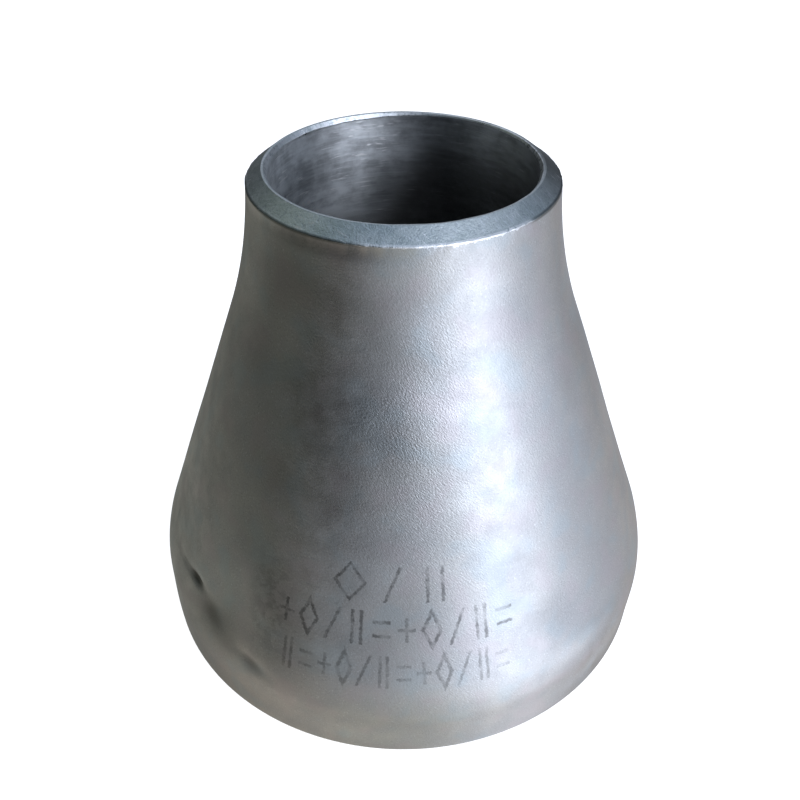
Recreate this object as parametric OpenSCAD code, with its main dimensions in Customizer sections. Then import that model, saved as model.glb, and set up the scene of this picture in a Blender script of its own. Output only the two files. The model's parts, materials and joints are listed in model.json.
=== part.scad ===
// Concentric butt-weld reducer: one seamless shell, pressed from pipe, that steps a
// pipeline down from a large bore to a small one about a single centre line.
// The large end's root face stands on z = 0 with its centre at the origin, and +Z runs
// along the centre line to the small end.

/* [Ends] */
// Outside diameter of the large end
large_od = 108; // [104:1:114]
// Outside diameter of the small end
small_od = 57; // [54:1:66]
// Wall thickness at both ends
wall = 4; // [3:0.5:5]
// Distance from one root face to the other
end_to_end = 102; // [98:1:120]

/* [Weld bevels] */
// Angle between each weld bevel and the plane of its end
bevel_angle = 37.5; // [35:0.5:40]
// Width of the flat root face left inside each bevel
root_face = 1; // [0.8:0.1:1.6]

/* [Transition] */
// Straight outside length of the large end, between its bevel and the knuckle
large_straight = 10.5; // [6:0.5:14]
// Straight outside length of the small end, between the neck and its bevel
small_straight = 0.5; // [0:0.1:3]
// Depth of the straight bore inside the small end
small_bore_depth = 5; // [4:0.5:8]
// Outside radius of the knuckle, where the large end bends into the cone
knuckle_radius = 30; // [15:1:30]
// Outside radius of the neck, where the cone flares back to the small end
neck_radius = 60; // [40:1:60]

/* [Hidden] */

$fn = 144;
bend_steps = 12;
steel_grey = [0.58, 0.58, 0.57];

large_r = large_od / 2;
small_r = small_od / 2;
large_bore_r = large_r - wall;
small_bore_r = small_r - wall;
bevel_height = (wall - root_face) * tan(bevel_angle);
knuckle_z = bevel_height + large_straight;
neck_z = end_to_end - bevel_height - small_straight;
small_bore_z = end_to_end - small_bore_depth;

// Half angle of the cone that lies tangent to both bends. Both bends turn the wall through
// this same angle, so only the sum of their radii counts.
function cone_angle(drop, rise, bend_radii) =
    asin(bend_radii / norm([rise, bend_radii - drop])) - atan2(bend_radii - drop, rise);

// One surface of the wall as [radius, height] points: the knuckle arc, which ends the
// straight of radius r1 at height z1, then the neck arc, which meets radius r2 at z2.
// The straight stretch between the two arcs is the cone.
function wall_side(r1, z1, r2, z2, knuckle, neck) =
    let (turn = cone_angle(r1 - r2, z2 - z1, knuckle + neck))
    concat(
        [for (i = [0:bend_steps])
            let (a = turn * i / bend_steps)
            [r1 - knuckle * (1 - cos(a)), z1 + knuckle * sin(a)]],
        [for (i = [bend_steps:-1:0])
            let (a = turn * i / bend_steps)
            [r2 + neck * (1 - cos(a)), z2 - neck * sin(a)]]
    );

function reversed(points) = [for (i = [len(points) - 1:-1:0]) points[i]];

outside = wall_side(large_r, knuckle_z, small_r, neck_z, knuckle_radius, neck_radius);
inside = wall_side(large_bore_r, knuckle_z, small_bore_r, small_bore_z,
                   knuckle_radius - wall, neck_radius + wall);

// The weld preparation of one end, from the bore's edge across the root face and out to
// the top of the bevel. into_wall is 1 where the wall lies above the end, and -1 below it.
function weld_end(bore_r, end_z, into_wall) = [
    [bore_r, end_z],
    [bore_r + root_face, end_z],
    [bore_r + wall, end_z + into_wall * bevel_height]
];

module reducer_body() {
    color(steel_grey)
    rotate_extrude()
        polygon(concat(
            weld_end(large_bore_r, 0, 1),
            outside,
            reversed(weld_end(small_bore_r, end_to_end, -1)),
            reversed(inside)
        ));
}

reducer_body();
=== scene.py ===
"""Looks of the concentric reducer: a pressed, pickled steel shell with machined weld ends.

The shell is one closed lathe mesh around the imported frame's dimensions, in metres, with the small
faults that pressing and hand finishing leave. Angles round the axis are measured from the front,
which is -Y, and grow towards +X.
"""
import json
import math

import bpy
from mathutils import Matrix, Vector, noise


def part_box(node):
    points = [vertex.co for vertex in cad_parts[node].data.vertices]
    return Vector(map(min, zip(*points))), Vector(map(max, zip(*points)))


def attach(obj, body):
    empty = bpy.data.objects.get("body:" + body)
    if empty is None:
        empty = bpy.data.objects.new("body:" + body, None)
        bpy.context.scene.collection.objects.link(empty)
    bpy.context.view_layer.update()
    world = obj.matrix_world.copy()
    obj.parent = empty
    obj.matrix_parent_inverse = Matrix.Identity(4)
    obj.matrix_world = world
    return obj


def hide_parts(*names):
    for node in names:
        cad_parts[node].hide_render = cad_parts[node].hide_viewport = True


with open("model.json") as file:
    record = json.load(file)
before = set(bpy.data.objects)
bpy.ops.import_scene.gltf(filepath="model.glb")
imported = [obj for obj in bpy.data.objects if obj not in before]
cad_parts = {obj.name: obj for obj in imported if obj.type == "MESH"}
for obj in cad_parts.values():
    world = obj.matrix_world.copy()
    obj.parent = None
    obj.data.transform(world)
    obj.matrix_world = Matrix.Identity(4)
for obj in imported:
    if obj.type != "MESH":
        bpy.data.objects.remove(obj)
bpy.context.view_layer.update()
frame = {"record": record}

MM = 0.001
NODE = "reducer_body"
PIECE = "reducer_shell"

# ---------------------------------------------------------------- dimensions

mount_r = {
    m["name"]: m["dims"]["r_mm"] * MM for m in frame["record"]["mounts"] if "r_mm" in m["dims"]
}
box_low, box_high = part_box(NODE)
BASE_Z, TOP_Z = box_low.z, box_high.z
LARGE_BORE_R = mount_r["large_end_bore"]
SMALL_BORE_R = mount_r["small_end_bore"]
LARGE_R = mount_r["large_end_outside"]
WALL = LARGE_R - LARGE_BORE_R
SMALL_R = SMALL_BORE_R + WALL

BEVEL_ANGLE = math.radians(37.5)
ROOT_FACE = 1.0 * MM
BEVEL_DEPTH = (WALL - ROOT_FACE) * math.tan(BEVEL_ANGLE)

# BEND_RADIUS, BULGE, BULGE_Z, NECK_RADIUS and FLARE are rounded from a fit of this outline to the
# photo's.
BEND_RADIUS = 38.7 * MM        # knuckle, outside
BULGE = 0.85 * MM              # how far the knuckle's circle stands proud of the large end
BULGE_Z = BASE_Z + 10.1 * MM   # height of that circle's middle
CREASE_Z = BASE_Z + 12.9 * MM  # where the knuckle turns into the sized, nearly straight end
CREASE_HIGH = 4.2 * MM
END_TAPER = math.radians(3.2)  # the sized end draws in a little
NECK_RADIUS = 96.5 * MM        # hollow bend under the small end
FLARE = math.radians(3.9)      # slope that is left in the wall where the small bevel starts
DEBURR_WIDE = 0.60 * MM        # chamfer filed round the small bore's edge
DEBURR_DEEP = 0.85 * MM
BORE_DEPTH = 5.0 * MM          # straight bore inside the small end
EDGE_RADIUS = 0.12 * MM        # machined corners

SEGMENTS = 480

# Heights that the materials go by: the small end's face and the outer edge of its bevel, in mm.
RIM_MM = TOP_Z / MM
BURR_MM = (TOP_Z - BEVEL_DEPTH) / MM

# ---------------------------------------------------------------- outline


def bends(top_r, top_z, slope, neck_radius, knuckle_r, knuckle_z, knuckle_radius, low_z, counts):
    """Points (r, z) from low_z up to the top: knuckle arc, tangent cone, neck arc."""
    centre_r, centre_z = knuckle_r - knuckle_radius, knuckle_z
    neck_r = top_r + neck_radius * math.cos(slope)
    neck_z = top_z + neck_radius * math.sin(slope)
    across, up = neck_r - centre_r, neck_z - centre_z
    turn = math.acos((knuckle_radius + neck_radius) / math.hypot(across, up))
    cone = math.atan2(up, across) - turn
    start = math.asin(max(-1.0, (low_z - centre_z) / knuckle_radius))
    arc_count, cone_count, neck_count = counts
    points = []
    for i in range(arc_count + 1):
        a = start + (cone - start) * i / arc_count
        points.append((centre_r + knuckle_radius * math.cos(a), centre_z + knuckle_radius * math.sin(a)))
    foot = points[-1]
    head = (neck_r - neck_radius * math.cos(cone), neck_z - neck_radius * math.sin(cone))
    for i in range(1, cone_count):
        t = (i / cone_count) ** 1.4
        points.append((foot[0] + (head[0] - foot[0]) * t, foot[1] + (head[1] - foot[1]) * t))
    for i in range(neck_count + 1):
        a = cone + (slope - cone) * i / neck_count
        points.append((neck_r - neck_radius * math.cos(a), neck_z - neck_radius * math.sin(a)))
    return points


def sized_end(top, count):
    """Points up from the low bevel to the knuckle, whose slope eases into the sized end's."""
    r, z = top
    step = (z - BASE_Z - BEVEL_DEPTH) / count
    points = []
    for _ in range(count):
        middle = z - step / 2
        t = min(1.0, max(0.0, (middle - CREASE_Z) / CREASE_HIGH + 0.5))
        share = t * t * (3 - 2 * t)
        knuckle = math.asin((middle - BULGE_Z) / BEND_RADIUS)
        r += step * math.tan(share * knuckle - (1 - share) * END_TAPER)
        z -= step
        points.append((r, z))
    return points[::-1]


def rounded(before, corner, after, radius=EDGE_RADIUS, steps=3, guard=1.5):
    """The corner as a small arc, with a point close by on each side that keeps the shading flat."""
    c = Vector(corner)
    a, b = (Vector(before) - c).normalized(), (Vector(after) - c).normalized()
    half = a.angle(b) / 2
    reach = radius / math.tan(half)
    middle = c + (a + b).normalized() * (radius / math.sin(half))
    first, last = c + a * reach, c + b * reach
    points = [tuple(c + a * (reach + guard * radius))]
    for i in range(steps + 1):
        p = first.lerp(last, i / steps) - middle
        points.append(tuple(middle + p.normalized() * radius))
    points.append(tuple(c + b * (reach + guard * radius)))
    return points


def between(a, b, count):
    """count points strictly between a and b."""
    return [tuple(Vector(a).lerp(Vector(b), i / (count + 1))) for i in range(1, count + 1)]


pressed = bends(SMALL_R, TOP_Z - BEVEL_DEPTH, FLARE, NECK_RADIUS,
                LARGE_R + BULGE, BULGE_Z, BEND_RADIUS, CREASE_Z + CREASE_HIGH / 2, (24, 34, 22))
outer = sized_end(pressed[0], 32) + pressed
inner = bends(SMALL_BORE_R, TOP_Z - BORE_DEPTH, 0.0, 64 * MM,
              LARGE_BORE_R, BASE_Z + 12.8 * MM, 26 * MM, BASE_Z + 12.8 * MM, (8, 6, 10))

corner = {
    "low_bore": (LARGE_BORE_R, BASE_Z),
    "low_root": (LARGE_BORE_R + ROOT_FACE, BASE_Z),
    "low_edge": outer[0],
    "top_edge": outer[-1],
    "top_root": (SMALL_BORE_R + ROOT_FACE, TOP_Z),
    "top_flat": (SMALL_BORE_R + DEBURR_WIDE, TOP_Z),
    "top_bore": (SMALL_BORE_R, TOP_Z - DEBURR_DEEP),
}

# Rings of the closed outline, each (r, z, region): from the large end's face up the outside, over
# the small end and down inside.
rings = []


def add(points, region):
    rings.extend((r, z, region) for r, z in points)


add(rounded(corner["low_bore"], corner["low_root"], corner["low_edge"]), "end")
add(between(corner["low_root"], corner["low_edge"], 2), "end")
add(rounded(corner["low_root"], corner["low_edge"], outer[4]), "end")
add(outer[2:-2], "outside")
edge = rounded(outer[-4], corner["top_edge"], corner["top_root"], 0.28 * MM, 5, 0.6)
add(edge[:1], "outside")
add(edge[1:-1], "edge")
add(edge[-1:], "end")
add(between(corner["top_edge"], corner["top_root"], 4), "end")
add(rounded(corner["top_edge"], corner["top_root"], corner["top_flat"], 0.08 * MM, 2, 0.5), "end")
add(rounded(corner["top_root"], corner["top_flat"], corner["top_bore"], 0.15 * MM, 3, 0.5), "lip")
add(rounded(corner["top_flat"], corner["top_bore"], inner[-1], 0.40 * MM, 4, 0.5), "lip")
add(between(corner["top_bore"], inner[-1], 5), "bore")
add(reversed(inner), "bore")
add(between(inner[0], corner["low_bore"], 4), "bore")
add(rounded(inner[0], corner["low_bore"], corner["low_root"]), "end")


# ---------------------------------------------------------------- shell


def ripple(x, y, z, size, seed):
    """Smooth noise, about -1 to 1, with lumps of the given size in metres."""
    return noise.noise(Vector((x / size + seed, y / size - seed, z / size)))


def bell(distance, width):
    return math.exp(-((distance / width) ** 2))


# Blows and die marks: angle and height of the middle, half width along the ring, half width up
# the wall, tilt of the long axis, depth, and the share of it that is drawn darker. Angles in degrees,
# lengths in metres.
DENTS = (
    (-61.0, 25.1 * MM, 3.2 * MM, 0.7 * MM, 0.0, 0.22 * MM, 1.0),
    (-54.6, 25.0 * MM, 2.8 * MM, 0.9 * MM, -4.0, 0.66 * MM, 1.0),
    (-46.5, 22.0 * MM, 4.8 * MM, 3.2 * MM, -14.0, 0.36 * MM, 1.0),
    (-33.5, 17.6 * MM, 4.0 * MM, 1.6 * MM, -20.0, 0.32 * MM, 1.0),
    (-68.0, 13.5 * MM, 8.0 * MM, 4.5 * MM, 0.0, 0.45 * MM, 0.3),
)


def dent_at(degrees, z, r):
    """How deep the wall is dented, and how much of that is darkened."""
    depth = dirty = 0.0
    for angle, height, along, up, tilt, deep, share in DENTS:
        side = math.radians(degrees - angle) * r
        rise = z - height
        if abs(side) < 3 * along and abs(rise) < 3 * along:
            c, s = math.cos(math.radians(tilt)), math.sin(math.radians(tilt))
            here = deep * bell(side * c + rise * s, along) * bell(rise * c - side * s, up)
            depth += here
            dirty += here * share
    return depth, dirty


def shell_point(r, z, region, angle):
    """Where a ring's point lies, with its region's faults, and how much its dents are darkened."""
    x, y = r * math.sin(angle), -r * math.cos(angle)
    degrees = (math.degrees(angle) + 180) % 360 - 180
    dirty = 0.0
    if region == "outside":
        dent, dirty = dent_at(degrees, z, r)
        wave = 0.17 * ripple(x, y, z, 26 * MM, 3.1) + 0.05 * ripple(x, y, z, 9 * MM, 7.7)
        r += wave * MM - dent
    elif region == "edge":
        r += 0.05 * MM + 0.09 * MM * ripple(x, y, z, 1.1 * MM, 5.5)
    elif region == "lip":
        # The file took least off at the back right.
        share = 1 - 0.75 * bell(degrees % 360 - 143, 53)
        share *= 1 + 0.25 * ripple(x, y, 0.0, 5 * MM, 2.3) + 0.10 * ripple(x, y, 0.0, 2 * MM, 6.1)
        r = SMALL_BORE_R + (r - SMALL_BORE_R) * share
        z = TOP_Z - (TOP_Z - z) * share
    elif region == "bore":
        r += 0.05 * MM * ripple(x, y, z, 12 * MM, 9.3)
    return (r * math.sin(angle), -r * math.cos(angle), z), dirty


def slot_of(regions):
    """Which of the shell's three materials a strip between two rings has."""
    if "outside" in regions:
        return 0
    return 2 if "bore" in regions else 1


def add_object(name, data):
    thing = bpy.data.objects.new(name, data)
    bpy.context.scene.collection.objects.link(thing)
    return thing


def make_shell():
    verts, dirt, faces, kinds = [], [], [], []
    for r, z, region in rings:
        for s in range(SEGMENTS):
            point, dirty = shell_point(r, z, region, 2 * math.pi * s / SEGMENTS)
            verts.append(point)
            dirt.append(dirty / MM)
    count = len(rings)
    for i in range(count):
        j = (i + 1) % count
        kind = slot_of((rings[i][2], rings[j][2]))
        for s in range(SEGMENTS):
            t = (s + 1) % SEGMENTS
            low, high = i * SEGMENTS, j * SEGMENTS
            faces.append((low + s, low + t, high + t, high + s))
            kinds.append(kind)
    mesh = bpy.data.meshes.new(PIECE)
    mesh.from_pydata(verts, [], faces)
    mesh.polygons.foreach_set("use_smooth", [True] * len(faces))
    mesh.polygons.foreach_set("material_index", kinds)
    mesh.attributes.new("dirt_mm", "FLOAT", "POINT").data.foreach_set("value", dirt)
    mesh.update()
    return add_object(PIECE, mesh)


# ---------------------------------------------------------------- materials


class Nodes:
    """Short forms for building a node tree."""

    def __init__(self, tree):
        self.tree = tree
        tree.nodes.clear()

    def add(self, kind, inputs=(), **settings):
        node = self.tree.nodes.new(kind)
        for name, value in settings.items():
            setattr(node, name, value)
        for name, value in dict(inputs).items():
            if isinstance(value, bpy.types.NodeSocket):
                self.tree.links.new(value, node.inputs[name])
            else:
                node.inputs[name].default_value = value
        return node

    def math(self, operation, *values, clamp=False):
        return self.add("ShaderNodeMath", dict(enumerate(values)), operation=operation,
                        use_clamp=clamp).outputs[0]

    def vector(self, operation, *values):
        node = self.add("ShaderNodeVectorMath", dict(enumerate(values)), operation=operation)
        return node.outputs["Value" if operation in ("DOT_PRODUCT", "LENGTH") else "Vector"]

    def scale(self, vector, factor):
        node = self.add("ShaderNodeVectorMath", {0: vector, "Scale": factor}, operation="SCALE")
        return node.outputs["Vector"]

    def turned(self, at, angle):
        node = self.add("ShaderNodeVectorRotate", {"Vector": at, "Angle": angle}, rotation_type="Z_AXIS")
        return node.outputs[0]

    def noise(self, at, scale, detail=2.0, roughness=0.5):
        inputs = {"Vector": at, "Scale": scale, "Detail": detail, "Roughness": roughness}
        return self.add("ShaderNodeTexNoise", inputs).outputs[0]

    def ramp(self, value, low, high, to_low=0.0, to_high=1.0):
        inputs = {0: value, 1: low, 2: high, 3: to_low, 4: to_high}
        return self.add("ShaderNodeMapRange", inputs, interpolation_type="SMOOTHSTEP").outputs[0]

    def mix(self, share, a, b):
        node = self.add("ShaderNodeMix", data_type="RGBA")
        for index, value in ((0, share), (6, a), (7, b)):
            if isinstance(value, bpy.types.NodeSocket):
                self.tree.links.new(value, node.inputs[index])
            else:
                node.inputs[index].default_value = value
        return node.outputs[2]


def material(name):
    mat = bpy.data.materials.new(name)
    mat.use_nodes = True
    return mat, Nodes(mat.node_tree)


def bare_metal(n, colour, rough, height, depth, more=()):
    """The shader of bare metal whose surface is worked to a depth in metres."""
    bump = n.add("ShaderNodeBump", {"Height": height, "Strength": 1.0, "Distance": depth})
    inputs = {"Base Color": colour, "Metallic": 1.0, "Roughness": rough, "Normal": bump.outputs[0]}
    shader = n.add("ShaderNodeBsdfPrincipled", inputs | dict(more))
    n.add("ShaderNodeOutputMaterial", {"Surface": shader.outputs[0]})


class Place:
    """Where a shading point is on the part, in mm and degrees."""

    def __init__(self, n):
        self.n = n
        self.at = n.scale(n.add("ShaderNodeTexCoord").outputs["Object"], 1 / MM)
        split = n.add("ShaderNodeSeparateXYZ", {0: self.at}).outputs
        self.x, self.y, self.z = split
        self.radius = self.length(self.x, self.y)
        turn = n.math("ARCTAN2", self.x, n.math("MULTIPLY", self.y, -1.0))
        self.degrees = n.math("MULTIPLY", turn, 180 / math.pi)

    def length(self, a, b):
        n = self.n
        return n.math("SQRT", n.math("ADD", n.math("POWER", a, 2.0), n.math("POWER", b, 2.0)))

    def spot(self, degrees, z, wide, high):
        """1 at a place on the wall, fading to 0 at wide degrees or high mm away."""
        n = self.n
        turn = n.math("WRAP", n.math("SUBTRACT", self.degrees, degrees), 180.0, -180.0)
        side = n.math("DIVIDE", turn, wide)
        rise = n.math("DIVIDE", n.math("SUBTRACT", self.z, z), high)
        return n.ramp(self.length(side, rise), 0.0, 1.0, 1.0, 0.0)

    def tone(self, spots):
        """Brightness with these spots, each an angle, a height, its half sizes and its lift."""
        tone = 1.0
        for degrees, z, wide, high, lift in spots:
            tone = self.n.math("MULTIPLY_ADD", self.spot(degrees, z, wide, high), lift, tone)
        return tone

    def rings(self, across, around, detail=3.0):
        """Noise drawn out round the axis: across and around are its scales per mm."""
        n = self.n
        circle = 25.0 * around
        x = n.math("MULTIPLY", n.math("DIVIDE", self.x, self.radius), circle)
        y = n.math("MULTIPLY", n.math("DIVIDE", self.y, self.radius), circle)
        z = n.math("MULTIPLY", n.math("ADD", self.z, self.radius), across)
        at = n.add("ShaderNodeCombineXYZ", {0: x, 1: y, 2: z}).outputs[0]
        return n.noise(at, 1.0, detail, 0.6)


def etched_row(p, centre, middle, pitch, count, half_high, first):
    """A row of plain signs: plus, bars, diamond, dashes, slash. Share of ink, 0 to 1.

    The row's middle angle, the signs' pitch in degrees and their number; heights in mm."""
    n = p.n
    shake = n.ramp(n.noise(p.at, 1.7, 2.0, 0.6), 0.2, 0.8, -0.16, 0.16)
    along = n.math("MULTIPLY_ADD", n.math("SUBTRACT", p.degrees, centre), 1 / pitch, count / 2)
    cell = n.math("FLOOR", along)
    mm_wide = n.math("MULTIPLY", p.radius, pitch * math.pi / 180)
    from_middle = n.math("SUBTRACT", n.math("SUBTRACT", along, cell), 0.5)
    rise = n.math("SUBTRACT", p.z, middle)
    x = n.math("ABSOLUTE", n.math("MULTIPLY", from_middle, mm_wide))
    y = n.math("ABSOLUTE", rise)
    half_wide = n.math("MULTIPLY", mm_wide, 0.36)

    def stroke(distance):
        return n.ramp(n.math("ABSOLUTE", n.math("ADD", distance, shake)), 0.16, 0.44, 1.0, 0.0)

    def inside(value, limit):
        return n.ramp(n.math("SUBTRACT", value, limit), -0.1, 0.1, 1.0, 0.0)

    upright = n.math("MULTIPLY", stroke(x), inside(y, half_high * 0.7))
    level = n.math("MULTIPLY", stroke(y), inside(x, half_wide))
    from_bar = n.math("SUBTRACT", x, n.math("MULTIPLY", half_wide, 0.5))
    share = n.math("ADD", n.math("DIVIDE", x, half_wide), n.math("DIVIDE", y, half_high))
    past_edge = n.math("SUBTRACT", share, 1.0)
    from_diamond = n.math("MULTIPLY", past_edge, n.math("MULTIPLY", half_wide, 0.85))
    from_dash = n.math("SUBTRACT", y, half_high * 0.4)
    from_slash = n.math("MULTIPLY_ADD", from_middle, mm_wide, n.math("MULTIPLY", rise, -0.4))
    signs = (
        n.math("MAXIMUM", upright, level),
        n.math("MULTIPLY", stroke(from_bar), inside(y, half_high)),
        stroke(from_diamond),
        n.math("MULTIPLY", stroke(from_dash), inside(x, half_wide)),
        n.math("MULTIPLY", stroke(from_slash), inside(y, half_high)),
    )
    kind = n.math("MODULO", n.math("MULTIPLY_ADD", cell, 2.0, float(first)), float(len(signs)))
    ink = 0.0
    for index, sign in enumerate(signs):
        chosen = n.math("COMPARE", kind, float(index), 0.1)
        ink = n.math("ADD", ink, n.math("MULTIPLY", sign, chosen))
    started = n.math("GREATER_THAN", along, 0.0)
    ended = n.math("LESS_THAN", along, float(count))
    return n.math("MULTIPLY", ink, n.math("MULTIPLY", started, ended))


def etching(p):
    """Three rows of plain signs on the front, taken up unevenly by the steel."""
    n = p.n
    rows = (
        (etched_row(p, -2.5, 41.3, 9.6, 3, 3.4, 2), 0.95),
        (etched_row(p, -2.0, 32.7, 5.4, 10, 3.4, 0), 0.95),
        (etched_row(p, -2.0, 24.2, 4.16, 12, 3.3, 1), 0.70),
    )
    ink = 0.0
    for row, strength in rows:
        ink = n.math("MULTIPLY_ADD", row, strength, ink)
    uptake = n.ramp(n.noise(p.at, 0.42, 4.0, 0.7), 0.38, 0.60, 0.35, 1.0)
    return n.math("MULTIPLY", ink, uptake)


# Stains left by pickling and handling, together with painted light and shade that lighten or darken
# the steel where its reflections come out brighter or darker: angle and height of the middle, half
# width in degrees, half height in mm, and how much lighter, or darker below 0, than the steel round
# it. They are set from ratios of the photo's tones to the render's.
CLOUDS = (
    (-46, 29, 17, 15, 0.42),
    (-20, 45, 16, 13, 0.45),
    (-17, 27, 15, 13, 0.45),
    (-20, 26, 14, 10, 0.05),
    (-11, 37, 14, 10, 0.25),
    (2, 26, 12, 8, 0.14),
    (-4, 44, 10, 6, 0.16),
    (-23, 36, 9, 8, 0.18),
    (-34, 27, 9, 8, 0.18),
    (-44, 12, 14, 7, 0.16),
    (-49, 42, 10, 10, 0.12),
    (-12, 94, 30, 6, 0.18),
    (-10, 7, 18, 6, 0.14),
    (-18, 79, 14, 10, 0.30),
    (-23, 60, 12, 9, 0.22),
    (-36, 92, 34, 13, -0.32),
    (-50, 80, 18, 16, -0.16),
    (-32, 75, 8, 8, -0.12),
    (-30, 98.5, 36, 3, -0.40),
    (-16, 98, 14, 4, -0.22),
    (5, 73, 16, 10, 0.20),
    (-2, 68, 10, 12, -0.28),
    (4, 86, 12, 8, 0.20),
    (44, 72, 12, 20, 0.12),
    (32, 91, 14, 6, 0.10),
    (14, 20, 30, 6, 0.18),
    (41, 18, 14, 4, 0.26),
    (52, 13, 16, 9, 0.20),
    (-42, 24.5, 8, 4, -0.16),
    (35, 27.5, 10, 9, -0.20),
    (-58, 53, 12, 18, -0.10),
    (-72, 27, 18, 15, -0.20),
    (-47, 22, 10, 7, -0.20),
    (-42, 20, 9, 6, -0.24),
    (-36, 56, 14, 8, -0.14),
    (-15, 56, 9, 5, -0.10),
    (-38, 34, 7, 7, 0.14),
    (-23, 37, 6, 4, 0.12),
    (-12, 40, 5, 4, -0.14),
    (-13, 29, 6, 4, -0.10),
    (-10, 20, 16, 9, 0.09),
    (13, 28, 17, 12, 0.10),
    (48, 9, 18, 6, 0.24),
    (74, 80, 14, 16, 0.14),
    (78, 52, 10, 18, 0.10),
    (-62, 47, 8, 8, -0.12),
    (-62, 19, 8, 6, -0.14),
    (-62, 87, 14, 8, 0.12),
    (-19, 68, 8, 5, 0.15),
    (5, 80, 11, 6, -0.08),
    (15, 71, 8, 4, 0.10),
    (56, 67, 7, 7, -0.10),
    (15, 49, 13, 6, -0.08),
    (27, 40, 8, 7, -0.08),
)


# Painted light and shade in the same columns, for the small end's bevel and for the bore below it.
BEVEL_TONES = (
    (-38, RIM_MM - 1, 40, 30, 0.50),
    (98, RIM_MM - 1, 44, 30, -0.62),
    (124, RIM_MM - 1, 16, 30, 0.50),
    (158, RIM_MM - 1, 16, 30, 0.35),
    (180, RIM_MM - 1, 14, 30, -0.20),
)
BORE_TONES = (
    (-115, 97, 42, 9, 0.25),
    (88, 98, 34, 11, -0.60),
    (-128, 84, 32, 9, 0.55),
    (-171, 86, 20, 9, -0.50),
)


def burr_shade(p):
    """The sides where the small bevel's outer edge catches no light, which get a painted shade line
    along it and no painted glints.
    """
    n = p.n
    sides = n.math("MAXIMUM", p.spot(-50, RIM_MM, 48, 60), p.spot(72, RIM_MM, 34, 60))
    return n.ramp(sides, 0.0, 0.45)


def pickled_steel():
    """Blasted and pickled outside: fine pebbles, cloudy stains with painted light and shade, darker
    dents, painted shade and glints under the small bevel's edge, and an etched mark.
    """
    mat, n = material("pickled_steel")
    p = Place(n)
    twisted = n.turned(p.at, n.math("MULTIPLY", p.z, 0.015))
    pebbles = n.noise(n.vector("MULTIPLY", twisted, (1.0, 1.0, 0.75)), 3.1, 3.0, 0.6)
    clouds = n.noise(p.at, 0.07, 4.0, 0.55)
    blotches = n.noise(p.at, 0.25, 4.0, 0.6)
    specks = n.noise(p.at, 3.6, 1.0, 0.5)
    dirt = n.ramp(n.add("ShaderNodeAttribute", attribute_name="dirt_mm").outputs["Fac"], 0.10, 0.55)
    coarse = n.math("MAXIMUM", p.spot(2, 62, 26, 30), p.spot(8, 77, 24, 15))
    coarse = n.math("MULTIPLY_ADD", p.spot(-2, 70, 20, 9), 0.8, coarse)
    colour = n.mix(n.ramp(clouds, 0.32, 0.68), (0.545, 0.55, 0.56, 1), (0.60, 0.60, 0.595, 1))
    colour = n.mix(n.ramp(blotches, 0.35, 0.7, 0.0, 0.20), colour, (0.45, 0.455, 0.47, 1))
    colour = n.mix(n.ramp(specks, 0.60, 0.76, 0.0, 0.5), colour, (0.85, 0.87, 0.90, 1))
    colour = n.mix(n.ramp(specks, 0.40, 0.26, 0.0, 0.40), colour, (0.32, 0.32, 0.33, 1))
    hue = n.noise(n.vector("ADD", p.at, (40.0, 0.0, 0.0)), 0.13, 2.0, 0.5)
    colour = n.mix(n.ramp(hue, 0.52, 0.68, 0.0, 0.38), colour, (0.50, 0.58, 0.62, 1))
    colour = n.mix(n.ramp(hue, 0.48, 0.34, 0.0, 0.4), colour, (0.60, 0.55, 0.57, 1))
    # Stains, and painted light and shade: these spots lighten or darken the steel's colour where its
    # reflections come out brighter or darker.
    colour = n.scale(colour, p.tone(CLOUDS))
    grime = n.math("MULTIPLY", n.ramp(n.noise(p.at, 0.5, 3.0, 0.6), 0.40, 0.60), p.spot(-30, 33, 9, 17))
    colour = n.mix(n.math("MULTIPLY", grime, 0.38), colour, (0.22, 0.22, 0.20, 1))
    # Darker in the dents, the more so the deeper they are.
    colour = n.mix(n.math("MULTIPLY", dirt, 0.85), colour, (0.09, 0.09, 0.08, 1))
    rolled_side = burr_shade(p)
    # Painted shade: a dark line just under the small bevel's outer edge, where the edge catches no
    # light.
    cut_line = n.math("MULTIPLY", n.ramp(p.z, BURR_MM - 0.65, BURR_MM - 0.25), rolled_side)
    colour = n.mix(n.math("MULTIPLY", cut_line, 0.75), colour, (0.10, 0.11, 0.10, 1))
    # Torn nicks under the small bevel's edge, painted bright as glints: most at the front right, and
    # only where the edge is lit.
    torn = n.math("MULTIPLY_ADD", n.noise(p.at, 1.3), 1.6, n.math("SUBTRACT", p.z, BURR_MM))
    torn = n.math("MULTIPLY_ADD", p.spot(22, RIM_MM, 36, 60), 0.25, torn)
    nicks = n.math("MULTIPLY", n.ramp(torn, 0.72, 0.90), n.ramp(rolled_side, 0.0, 0.6, 1.0, 0.0))
    colour = n.mix(nicks, colour, (0.92, 0.94, 0.96, 1))
    colour = n.mix(n.math("MULTIPLY", etching(p), 0.80), colour, (0.17, 0.17, 0.17, 1))
    rough = n.ramp(blotches, 0.3, 0.7, 0.37, 0.46)
    grain = n.math("MULTIPLY", pebbles, n.math("ADD", coarse, 1.1))
    bare_metal(n, colour, rough, grain, 0.040 * MM)
    return mat


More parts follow.
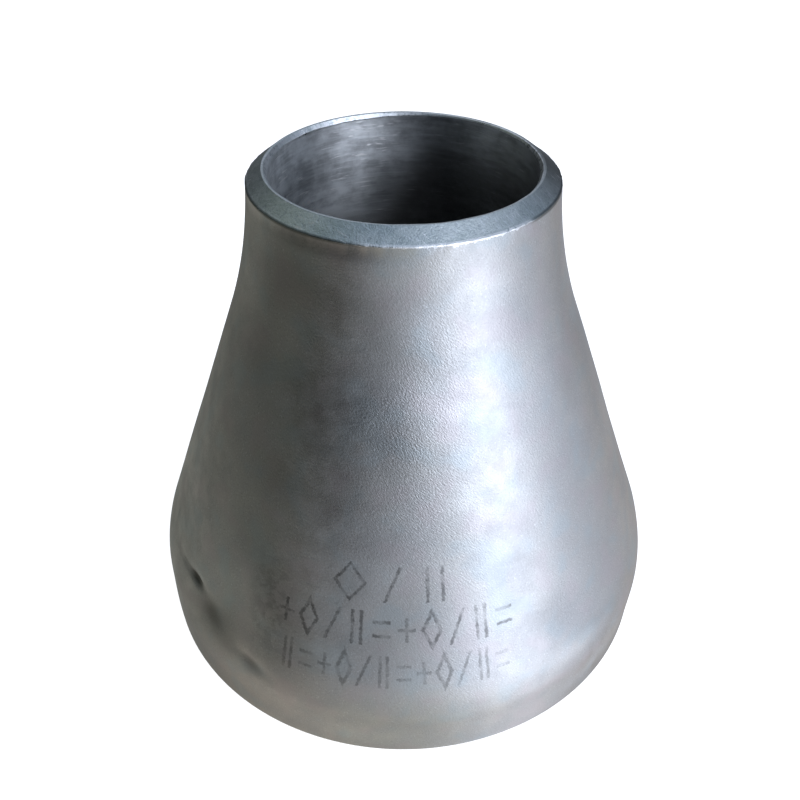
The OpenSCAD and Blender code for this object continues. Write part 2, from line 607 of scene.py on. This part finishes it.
def machined_steel():
    """Ground weld bevels and root faces, with a broken burr on the small end's outer edge, painted as a
    bright glint where the edge is lit and as a shade line where it is not, painted light and shade round
    the bevel and its root face, and a bright filed chamfer round its bore."""
    mat, n = material("machined_steel")
    p = Place(n)
    lines = p.rings(2.6, 0.35)
    grain = n.noise(p.at, 3.4, 3.0, 0.65)
    clouds = n.noise(p.at, 0.2, 3.0, 0.6)
    slant = n.turned(p.at, 0.6)
    cuts = n.noise(n.vector("MULTIPLY", slant, (0.35, 4.5, 0.6)), 1.0, 1.0, 0.4)
    cuts = n.math("MULTIPLY", n.ramp(cuts, 0.66, 0.74), n.ramp(n.noise(p.at, 0.15), 0.45, 0.6))
    rolled_side = burr_shade(p)
    broken = n.ramp(n.noise(p.at, 0.9, 3.0, 0.6), 0.30, 0.42)
    # Painted highlight: the broken burr drawn as a bright glint, only where the edge is lit.
    burr = n.math("MULTIPLY", n.ramp(p.z, BURR_MM + 0.36, BURR_MM + 0.16), broken)
    burr = n.math("MULTIPLY", burr, n.ramp(rolled_side, 0.0, 0.6, 1.0, 0.0))
    # Painted shade: a dark line on the bevel along its outer edge, where the edge catches no light.
    rolled = n.math("MULTIPLY", n.ramp(p.z, BURR_MM + 0.30, BURR_MM + 0.10, 0.0, 0.75), rolled_side)
    bore_edge = (SMALL_BORE_R + DEBURR_WIDE) / MM
    top = n.math("GREATER_THAN", p.z, (TOP_Z - 2 * DEBURR_DEEP) / MM)
    chamfer = n.math("MULTIPLY", n.ramp(p.radius, bore_edge, bore_edge - 0.1), top)
    filed = n.math("MULTIPLY", chamfer, n.ramp(n.noise(p.at, 1.1, 3.0, 0.6), 0.36, 0.54, 0.15, 1.0))
    root = n.math("MULTIPLY", n.ramp(p.radius, bore_edge + 0.6, bore_edge + 0.3), top)
    # Painted shade on the root face next to the bore, at the front left.
    dull = n.math("MULTIPLY", root, p.spot(-42, RIM_MM, 52, 60))
    colour = n.mix(n.ramp(clouds, 0.3, 0.7), (0.49, 0.55, 0.555, 1), (0.59, 0.64, 0.65, 1))
    colour = n.mix(n.ramp(lines, 0.4, 0.75, 0.0, 0.30), colour, (0.82, 0.86, 0.88, 1))
    colour = n.mix(n.ramp(grain, 0.47, 0.28, 0.0, 0.50), colour, (0.26, 0.29, 0.30, 1))
    colour = n.mix(n.ramp(grain, 0.58, 0.74, 0.0, 0.45), colour, (0.90, 0.93, 0.95, 1))
    pits = n.noise(p.at, 1.5, 3.0, 0.65)
    ground = n.noise(n.vector("MULTIPLY", slant, (0.5, 2.2, 0.7)), 1.0, 2.0, 0.5)
    colour = n.mix(n.ramp(pits, 0.48, 0.30, 0.0, 0.55), colour, (0.33, 0.37, 0.41, 1))
    colour = n.mix(n.ramp(ground, 0.54, 0.72, 0.0, 0.45), colour, (0.80, 0.84, 0.90, 1))
    # Painted light and shade round the bevel, with a painted glint at the back right.
    colour = n.scale(colour, p.tone(BEVEL_TONES))
    colour = n.mix(rolled, colour, (0.10, 0.11, 0.11, 1))
    # Real bright cuts, and the burr's painted glint.
    colour = n.mix(n.math("MAXIMUM", burr, cuts), colour, (0.95, 0.96, 0.97, 1))
    colour = n.mix(n.math("MULTIPLY", filed, 0.8), colour, (0.90, 0.92, 0.94, 1))
    colour = n.mix(n.math("MULTIPLY", dull, 0.6), colour, (0.27, 0.30, 0.31, 1))
    rough = n.math("MULTIPLY_ADD", filed, -0.06, n.ramp(clouds, 0.3, 0.7, 0.33, 0.40))
    height = n.math("MULTIPLY_ADD", lines, 0.6, grain)
    height = n.math("MULTIPLY_ADD", pits, 0.8, height)
    bare_metal(n, colour, rough, height, 0.055 * MM)
    return mat


def bore_steel():
    """Brushed round the bore, which spreads its reflections up and down the wall. A painted shadow
    darkens it deeper in, and comes nearer the mouth away from the wall that the window lights; painted
    light and shade round the bore add to it."""
    mat, n = material("bore_steel")
    p = Place(n)
    lines = p.rings(1.5, 0.10, 4.0)
    scored = n.ramp(p.rings(0.12, 0.2), 0.42, 0.60)
    scores = n.math("MULTIPLY", n.ramp(p.rings(2.4, 0.16, 2.0), 0.60, 0.72), scored)
    bands = n.math("MULTIPLY", p.rings(0.35, 0.10), 0.5)
    clouds = n.math("MULTIPLY_ADD", n.noise(p.at, 0.30, 4.0, 0.6), 0.5, bands)
    colour = n.mix(n.ramp(clouds, 0.36, 0.64), (0.42, 0.43, 0.44, 1), (0.78, 0.80, 0.81, 1))
    colour = n.mix(n.ramp(lines, 0.45, 0.7, 0.0, 0.38), colour, (0.85, 0.88, 0.90, 1))
    colour = n.mix(scores, colour, (1.0, 1.0, 1.0, 1))
    # Painted shadow: darker deeper in, starting nearer the mouth away from the wall that the window
    # lights.
    away = n.math("COSINE", n.math("MULTIPLY_ADD", p.degrees, math.pi / 180, math.radians(140.0)))
    cleaned = n.ramp(away, 0.55, 0.98, 1.5, 20.0)
    deeper = n.math("SUBTRACT", n.math("SUBTRACT", RIM_MM, p.z), cleaned)
    ragged = n.math("MULTIPLY_ADD", n.noise(p.at, 0.3, 4.0, 0.6), 10.0, -5.0)
    deeper = n.math("ADD", deeper, ragged)
    colour = n.mix(n.ramp(deeper, -2.0, 12.0, 0.0, 0.8), colour, (0.09, 0.085, 0.08, 1))
    # Painted light and shade round the bore.
    colour = n.scale(colour, p.tone(BORE_TONES))
    scratch = n.math("MULTIPLY", n.ramp(p.rings(1.5, 0.32, 1.0), 0.56, 0.72), p.spot(-164, 96.5, 30, 9))
    colour = n.mix(n.ramp(scratch, 0.0, 0.9), colour, (1.0, 1.0, 1.0, 1))
    around = n.add("ShaderNodeTangent", direction_type="RADIAL", axis="Z").outputs[0]
    brushed = {"Anisotropic": 0.8, "Anisotropic Rotation": 0.25, "Tangent": around}
    bare_metal(n, colour, 0.52, lines, 0.09 * MM, brushed)
    return mat


# ---------------------------------------------------------------- studio

DAYLIGHT = (0.93, 1.0, 1.15)
SKY = (0.75, 1.0, 1.35)
PLASTER = (1.0, 1.0, 0.87)
WOOD = (1.12, 1.0, 0.85)
PLAIN = (1.0, 1.0, 1.05)
SHADE = (0.85, 1.0, 0.82)

# Soft patches of the surroundings: azimuth and elevation of the middle and spread, in degrees, then
# strength and tint. Places and spreads are given one by one. The strengths, apart from back_low's, are
# rounded from a least-squares fit of the patches to the photo's tones, and the tints sum up its colours.
PATCHES = {
    "window_high": (45, 42, 24, 2.05, DAYLIGHT),
    "window": (45, 8, 20, 3.20, DAYLIGHT),
    "window_low": (48, -25, 20, 1.50, DAYLIGHT),
    "table_right": (60, -52, 18, 1.25, PLAIN),
    "right": (95, -10, 26, 0.75, DAYLIGHT),
    "right_back": (128, -38, 22, 0.42, WOOD),
    "right_high": (110, 45, 26, 0.25, SKY),
    "table_back": (180, -62, 20, 0.50, PLAIN),
    "table_front": (0, -52, 26, 0.48, PLASTER),
    "table_left": (-62, -52, 22, 0.45, WOOD),
    "left_back": (-150, -35, 20, 0.33, PLASTER),
    "left_low": (-115, -31, 14, 0.32, PLASTER),
    "left_near": (-70, -22, 14, 0.12, SHADE),
    "left": (-90, -15, 28, 0.08, PLASTER),
    "left_high": (-110, 45, 28, 0.15, SHADE),
    "front": (0, -14, 22, 0.42, DAYLIGHT),
    "overhead": (0, 85, 24, 0.35, SKY),
    "back_high": (180, 40, 28, 0.65, DAYLIGHT),
    "back_low": (158, -24, 14, 0.45, DAYLIGHT),
}


def towards(azimuth, elevation):
    a, e = math.radians(azimuth), math.radians(elevation)
    return (math.sin(a) * math.cos(e), -math.cos(a) * math.cos(e), math.sin(e))


def make_world():
    """Surroundings of soft patches for the steel to reflect, and plain white for the camera."""
    world = bpy.data.worlds.new("studio")
    world.use_nodes = True
    bpy.context.scene.world = world
    n = Nodes(world.node_tree)
    direction = n.add("ShaderNodeTexCoord").outputs["Generated"]
    total = (0.0, 0.0, 0.0)
    for azimuth, elevation, spread, strength, tint in PATCHES.values():
        sharp = 1 / (1 - math.cos(math.radians(spread)))
        facing = n.vector("DOT_PRODUCT", direction, towards(azimuth, elevation))
        glow = n.math("EXPONENT", n.math("MULTIPLY_ADD", facing, sharp, math.log(strength) - sharp))
        total = n.vector("ADD", n.scale(tint, glow), total)
    around = n.add("ShaderNodeBackground", {"Color": total})
    white = n.add("ShaderNodeBackground", {"Color": (1, 1, 1, 1)})
    seen = n.add("ShaderNodeLightPath").outputs["Is Camera Ray"]
    both = n.add("ShaderNodeMixShader", {0: seen, 1: around.outputs[0], 2: white.outputs[0]})
    n.add("ShaderNodeOutputWorld", {"Surface": both.outputs[0]})


def make_floor():
    """Pale paper. The steel reflects the patches below it in its place."""
    half = 3.0
    sides = ((-half, -half), (half, -half), (half, half), (-half, half))
    mesh = bpy.data.meshes.new("studio_floor")
    mesh.from_pydata([(x, y, BASE_Z) for x, y in sides], [], [(0, 1, 2, 3)])
    floor = add_object("studio_floor", mesh)
    mat, n = material("floor_paper")
    lit = n.add("ShaderNodeBsdfDiffuse", {"Color": (0.9, 0.9, 0.9, 1)})
    glow = n.add("ShaderNodeEmission", {"Color": (1, 1, 1, 1), "Strength": 0.9})
    total = n.add("ShaderNodeAddShader", {0: lit.outputs[0], 1: glow.outputs[0]})
    n.add("ShaderNodeOutputMaterial", {"Surface": total.outputs[0]})
    mesh.materials.append(mat)
    floor.visible_glossy = False
    floor.visible_diffuse = False


def make_contact_shade():
    """A dark disc just under the paper, inside the standing part. The bore reflects it, because
    little light falls that far down."""
    count = 64
    reach = LARGE_BORE_R + WALL / 2
    angles = [2 * math.pi * i / count for i in range(count)]
    ring = [(reach * math.sin(a), reach * math.cos(a), BASE_Z - 0.1 * MM) for a in angles]
    mesh = bpy.data.meshes.new("studio_shade")
    mesh.from_pydata(ring, [], [tuple(range(count))])
    shade = add_object("studio_shade", mesh)
    mat, n = material("shaded_paper")
    lit = n.add("ShaderNodeBsdfDiffuse", {"Color": (0.15, 0.15, 0.14, 1)})
    n.add("ShaderNodeOutputMaterial", {"Surface": lit.outputs[0]})
    mesh.materials.append(mat)


def make_window_lamp():
    """The window itself: a soft lamp to the right of the camera, as strong as the patches' fit said."""
    azimuth, elevation = 42, 38
    distance, height = 1.2, 0.05
    data = bpy.data.lights.new("window_lamp", "AREA")
    data.shape = "DISK"
    data.size = 0.60
    data.color = (0.80, 0.92, 1.0)
    data.energy = 0.35
    lamp = add_object("window_lamp", data)
    lamp.location = Vector((0, 0, height)) + Vector(towards(azimuth, elevation)) * distance
    lamp.rotation_euler = (math.radians(90 - elevation), 0, math.radians(azimuth))
    lamp.visible_camera = False


def make_camera():
    """A close camera in front, looking down at the part. Its distance and tilt are the outline fit's."""
    distance = 191.6 * MM
    elevation = 36.81
    data = bpy.data.cameras.new("camera")
    data.sensor_width = 36
    data.lens = 40.36
    data.shift_x, data.shift_y = -0.0044, -0.0144
    data.clip_start = 0.01
    camera = add_object("camera", data)
    middle = Vector((0, 0, (BASE_Z + TOP_Z) / 2))
    camera.location = middle + Vector(towards(0, elevation)) * distance
    camera.rotation_euler = (math.radians(90 - elevation), 0, 0)
    bpy.context.scene.camera = camera


shell = make_shell()
for make in (pickled_steel, machined_steel, bore_steel):
    shell.data.materials.append(make())
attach(shell, "root")
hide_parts(NODE)

make_world()
make_floor()
make_contact_shade()
make_window_lamp()
make_camera()
bpy.context.scene.view_settings.view_transform = "Standard"
